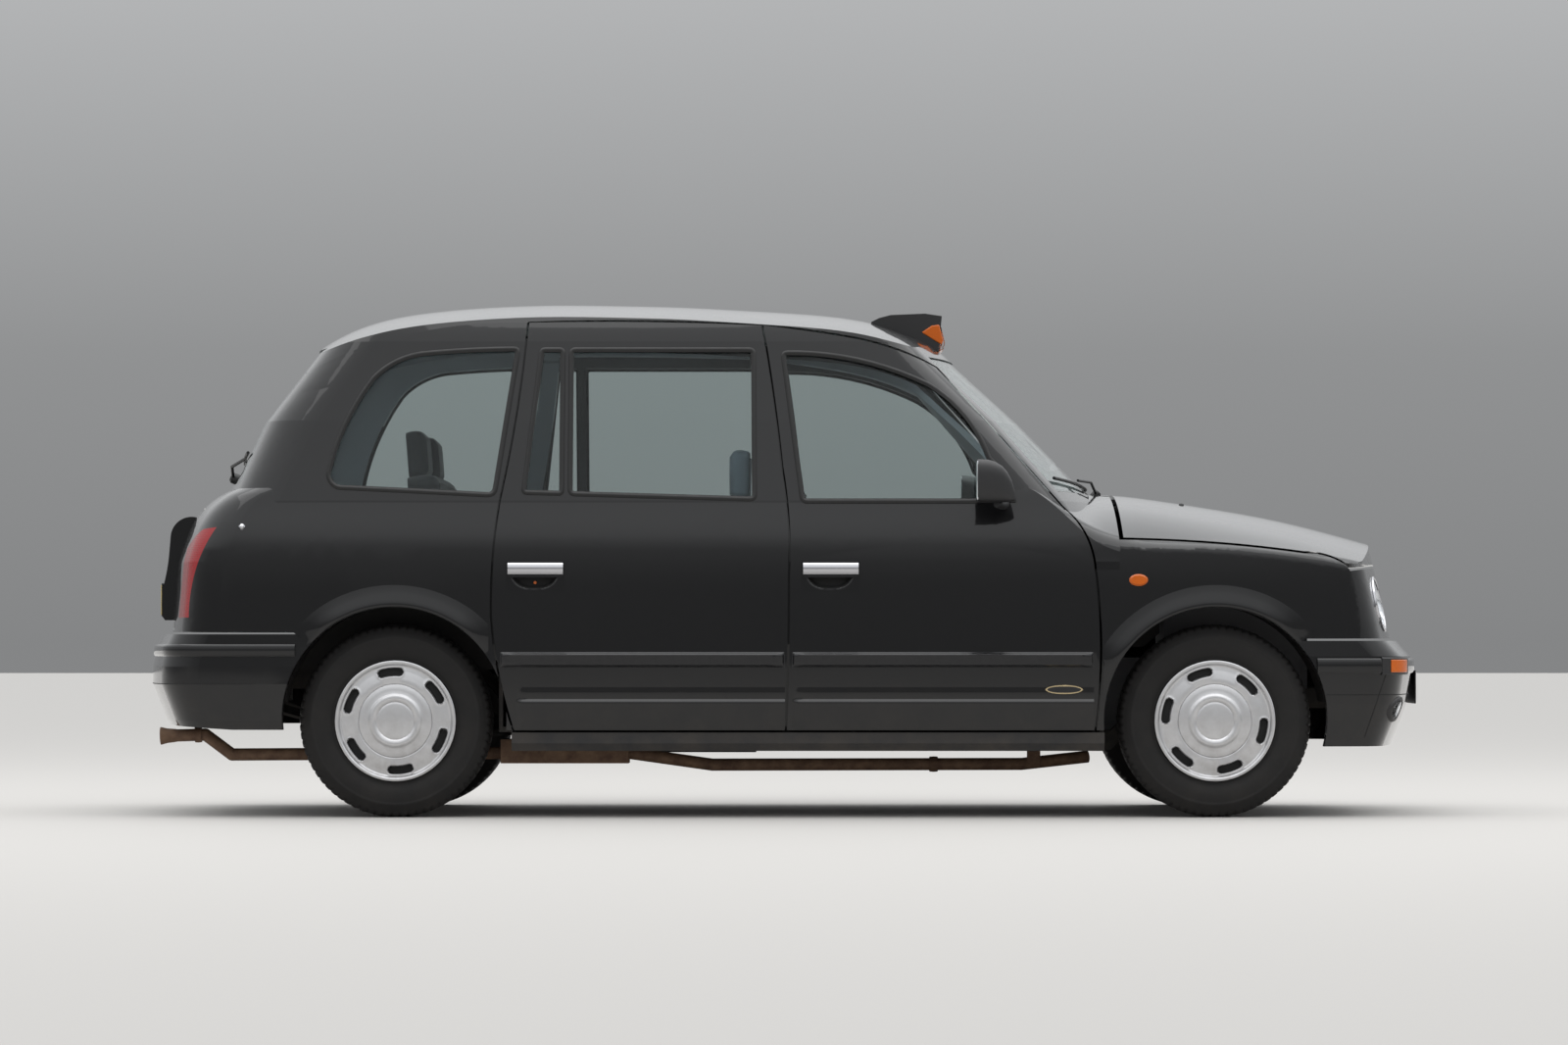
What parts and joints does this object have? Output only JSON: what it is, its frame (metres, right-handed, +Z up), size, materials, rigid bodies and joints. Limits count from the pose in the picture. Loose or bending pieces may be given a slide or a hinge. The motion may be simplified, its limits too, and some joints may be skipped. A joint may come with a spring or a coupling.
{
  "type": "taxi cab",
  "caption": "Purpose-built taxi with tall cabin, four side doors, bonnet, boot lid, steered front wheels, roof sign and a divided cabin.",
  "frame": {"origin": "centre of the plan box on the ground", "axes": "+X forward, +Y to the car's left, +Z up"},
  "size_m": [4.5756, 2.036, 1.844],
  "materials": {
    "body_paint": "gloss",
    "black_plastic": "satin",
    "chrome": "polished",
    "glass": "clear",
    "lamp_clear": "clear",
    "lamp_red": "gloss",
    "chassis_black": "matt",
    "engine_metal": "rough",
    "rusty_steel": "rusty",
    "cabin_trim": "satin",
    "seat_grey": "woven",
    "seat_dark": "woven",
    "wheel_silver": "satin",
    "tyre": "matt"
  },
  "bodies": {
    "root": {"chassis_rails": "chassis_black", "crossmembers": "chassis_black", "floor_pan": "chassis_black", "boot_floor": "chassis_black", "bulkhead": "chassis_black", "wheel_housings": "chassis_black", "side_frames": "body_paint", "quarter_panels": "body_paint", "front_wings": "body_paint", "tail_lamps": "lamp_red", "roof_panel": "body_paint", "windscreen_frame": "body_paint", "front_panel": "body_paint", "grille": "chrome", "headlamps": "lamp_clear", "tail_panel": "body_paint", "front_bumper": "body_paint", "rear_bumper": "body_paint", "fixed_glass": "glass", "roof_sign": "black_plastic", "sills": "black_plastic", "front_suspension": "chassis_black", "rear_axle": "chassis_black", "engine_block": "engine_metal", "exhaust": "rusty_steel", "fuel_tank": "chassis_black", "driver_seat": "seat_grey", "rear_bench": "seat_dark", "jump_seats": "seat_grey", "partition": "cabin_trim", "dashboard": "cabin_trim"},
    "front_door_right": {"front_door_right": "body_paint", "front_door_glass_right": "glass", "door_mirror_right": "black_plastic"},
    "rear_door_right": {"rear_door_right": "body_paint", "rear_door_glass_right": "glass"},
    "knuckle_right": {"knuckle_right": "chassis_black"},
    "front_wheel_right": {"front_wheel_right": "wheel_silver", "front_tyre_right": "tyre"},
    "rear_wheel_right": {"rear_wheel_right": "wheel_silver", "rear_tyre_right": "tyre"},
    "front_door_left": {"front_door_left": "body_paint", "front_door_glass_left": "glass", "door_mirror_left": "black_plastic"},
    "rear_door_left": {"rear_door_left": "body_paint", "rear_door_glass_left": "glass"},
    "knuckle_left": {"knuckle_left": "chassis_black"},
    "front_wheel_left": {"front_wheel_left": "wheel_silver", "front_tyre_left": "tyre"},
    "rear_wheel_left": {"rear_wheel_left": "wheel_silver", "rear_tyre_left": "tyre"},
    "bonnet": {"bonnet": "body_paint"},
    "boot_lid": {"boot_lid": "body_paint"},
    "steering_wheel": {"steering_wheel": "cabin_trim"}
  },
  "joints": [
    {"name": "front_door_right_swing", "type": "hinge", "parent": "root", "child": "front_door_right", "pos_m": [1.045, -0.876, 0.725], "axis": [0, 0, 1], "range_deg": [0, 70]},
    {"name": "rear_door_right_swing", "type": "hinge", "parent": "root", "child": "rear_door_right", "pos_m": [-0.027, -0.876, 0.725], "axis": [0, 0, 1], "range_deg": [0, 80]},
    {"name": "steer_right", "type": "hinge", "parent": "root", "child": "knuckle_right", "pos_m": [1.524, -0.657, 0.34], "axis": [0, 0, 1], "range_deg": [-48, 48]},
    {"name": "front_wheel_right_spin", "type": "hinge", "parent": "knuckle_right", "child": "front_wheel_right", "pos_m": [1.524, -0.717, 0.34], "axis": [0, 1, 0], "continuous": true},
    {"name": "rear_wheel_right_spin", "type": "hinge", "parent": "root", "child": "rear_wheel_right", "pos_m": [-1.362, -0.717, 0.34], "axis": [0, 1, 0], "continuous": true},
    {"name": "front_door_left_swing", "type": "hinge", "parent": "root", "child": "front_door_left", "pos_m": [1.045, 0.876, 0.725], "axis": [0, 0, -1], "range_deg": [0, 70]},
    {"name": "rear_door_left_swing", "type": "hinge", "parent": "root", "child": "rear_door_left", "pos_m": [-0.027, 0.876, 0.725], "axis": [0, 0, -1], "range_deg": [0, 80]},
    {"name": "steer_left", "type": "hinge", "parent": "root", "child": "knuckle_left", "pos_m": [1.524, 0.657, 0.34], "axis": [0, 0, 1], "range_deg": [-48, 48]},
    {"name": "front_wheel_left_spin", "type": "hinge", "parent": "knuckle_left", "child": "front_wheel_left", "pos_m": [1.524, 0.717, 0.34], "axis": [0, 1, 0], "continuous": true},
    {"name": "rear_wheel_left_spin", "type": "hinge", "parent": "root", "child": "rear_wheel_left", "pos_m": [-1.362, 0.717, 0.34], "axis": [0, 1, 0], "continuous": true},
    {"name": "bonnet_lift", "type": "hinge", "parent": "root", "child": "bonnet", "pos_m": [1.16, 0, 1.126], "axis": [0, -1, 0], "range_deg": [0, 50]},
    {"name": "boot_lid_lift", "type": "hinge", "parent": "root", "child": "boot_lid", "pos_m": [-2.1, 0, 1.075], "axis": [0, 1, 0], "range_deg": [0, 80]},
    {"name": "steering_wheel_turn", "type": "hinge", "parent": "root", "child": "steering_wheel", "pos_m": [0.7, -0.38, 1.01], "axis": [-0.8, 0, 0.6], "range_deg": [-576, 576]}
  ],
  "couplings": [
    {"joint": "steer_right", "follows": "steer_left", "ratio": 1},
    {"joint": "steering_wheel_turn", "follows": "steer_left", "ratio": 12}
  ]
}
